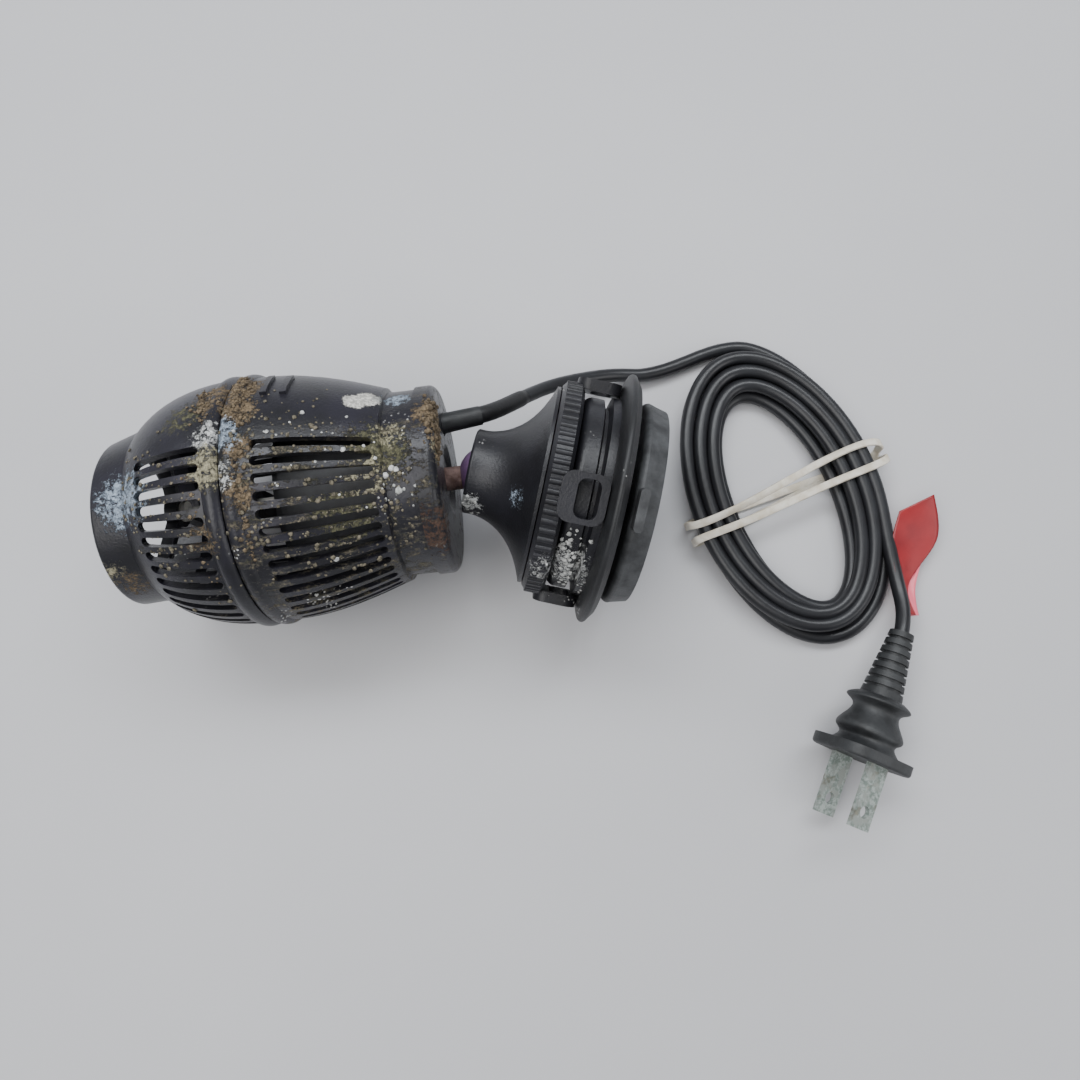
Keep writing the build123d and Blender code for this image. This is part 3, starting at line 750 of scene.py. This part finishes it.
def band_loop(content, over, under, over_skew, under_skew, twist):
    """One flat closed strand over the hank, down its side and back below it."""
    centres, sides = [], []
    for step in range(BAND_STEPS):
        turn = 2 * math.pi * step / BAND_STEPS
        upper = (1 + math.sin(turn)) / 2
        heading = BAND_ANGLE + under_skew + (over_skew - under_skew) * upper
        direction = Vector((math.cos(heading), math.sin(heading), 0))
        across = Vector((-direction.y, direction.x, 0))
        share = squared(math.cos(turn))
        level = BAND_LEVEL + BAND_LIFT * squared(math.sin(turn))
        centre = on_table(BAND_MIDDLE.x, BAND_MIDDLE.y, level)
        centre += direction * share * BAND_HALF * MM
        centre += across * (under + (over - under) * upper + 0.5 * math.sin(3 * share)) * MM
        roll = twist * upper ** 4 * math.sin(2.2 * share + over)
        centres.append(centre)
        lean = Vector((0, 0, 1)) * math.sin(roll) * abs(math.sin(turn))
        sides.append(across * math.cos(roll) + lean)
    rings = []
    for index, (centre, side) in enumerate(zip(centres, sides)):
        ahead = (centres[(index + 1) % BAND_STEPS] - centres[index - 1]).normalized()
        wide = (side - ahead * side.dot(ahead)).normalized()
        thick = ahead.cross(wide)
        rings.append([
            content.verts.new(centre + (wide * STRAND_WIDTH * a + thick * STRAND_THICK * b) / 2 * MM)
            for a, b in STRAND_OUTLINE
        ])
    for first, second in zip(rings, rings[1:] + rings[:1]):
        for k in range(len(first)):
            content.faces.new((first[k], first[k - 1], second[k - 1], second[k]))


def build_band(content):
    for loop in LOOPS:
        band_loop(content, *loop)


rubber_band = mesh_piece("rubber_band_strands", build_band, band_rubber)
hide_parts("rubber_band")
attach(rubber_band, "pump")

# ---- Red film tag on the lead, left blank ----

TAG_LEFT = [(109.3, -46.6, 8.6), (110.6, -36.0, 8.2), (111.6, -27.0, 8.0), (115.6, -17.8, 8.4)]
TAG_RIGHT = [(114.6, -47.8, 7.8), (115.6, -38.6, 5.4), (126.2, -26.6, 5.0), (125.9, -14.3, 8.6)]
TAG_THICK = 0.35
TAG_WAVE = 0.5


def along(points, share):
    """A smooth line through a few points, from 0 to 1."""
    position = share * (len(points) - 1)
    index = min(int(position), len(points) - 2)
    four = [Vector(points[max(0, min(len(points) - 1, index + k))]) for k in (-1, 0, 1, 2)]
    s = position - index
    return 0.5 * (
        2 * four[1] + (four[2] - four[0]) * s
        + (2 * four[0] - 5 * four[1] + 4 * four[2] - four[3]) * s * s
        + (3 * four[1] - four[0] - 3 * four[2] + four[3]) * s ** 3
    )


def tag_sheet(content, left, right, columns=14, rows=28):
    """A thin wavy strip between two edge lines, closed on all sides."""
    layers = []
    for side in (0.5, -0.5):
        grid = []
        for row in range(rows + 1):
            start, stop = along(left, row / rows), along(right, row / rows)
            line = []
            for column in range(columns + 1):
                share = column / columns
                point = start.lerp(stop, share)
                point.z += TAG_WAVE * math.sin(3.4 * share + 5.0 * row / rows) + side * TAG_THICK
                line.append(content.verts.new(on_table(*point)))
            grid.append(line)
        layers.append(grid)
    top, under = layers
    for grid in layers:
        for row in range(rows):
            for column in range(columns):
                content.faces.new((
                    grid[row][column], grid[row][column + 1],
                    grid[row + 1][column + 1], grid[row + 1][column],
                ))
    rim = [(0, c) for c in range(columns)] + [(r, columns) for r in range(rows)]
    rim += [(rows, c) for c in range(columns, 0, -1)] + [(r, 0) for r in range(rows, 0, -1)]
    for (r0, c0), (r1, c1) in zip(rim, rim[1:] + rim[:1]):
        content.faces.new((top[r0][c0], under[r0][c0], under[r1][c1], top[r1][c1]))


tag = mesh_piece("flag_front", lambda content: tag_sheet(content, TAG_LEFT, TAG_RIGHT), tag_film)
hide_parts("cord_tag")
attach(tag, "pump")
FOLD_LEFT = [(113.6, -47.8, 6.2), (114.6, -39.0, 4.3), (117.8, -35.0, 3.6)]
FOLD_RIGHT = [(116.0, -47.9, 6.6), (117.6, -39.5, 4.6), (121.8, -30.2, 4.0)]
tag_fold = mesh_piece(
    "flag_reverse", lambda content: tag_sheet(content, FOLD_LEFT, FOLD_RIGHT, 6, 16), tag_back
)
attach(tag_fold, "pump")

# ---- Floor ----

FLOOR_HALF = 3.0


def build_floor(content):
    corners = [(-1, -1), (1, -1), (1, 1), (-1, 1)]
    content.faces.new([content.verts.new((x * FLOOR_HALF, y * FLOOR_HALF, 0)) for x, y in corners])


table_shade = Shader("pale_table")
table_shade.color(table_shade.mix(table_shade.noise(9.0, 4.0), (0.50, 0.50, 0.52), (0.55, 0.55, 0.565)))
table_shade.roughness(table_shade.noise(25.0, 4.0), 0.42, 0.55)
table = mesh_piece("table", build_floor, table_shade.material, smooth=False)
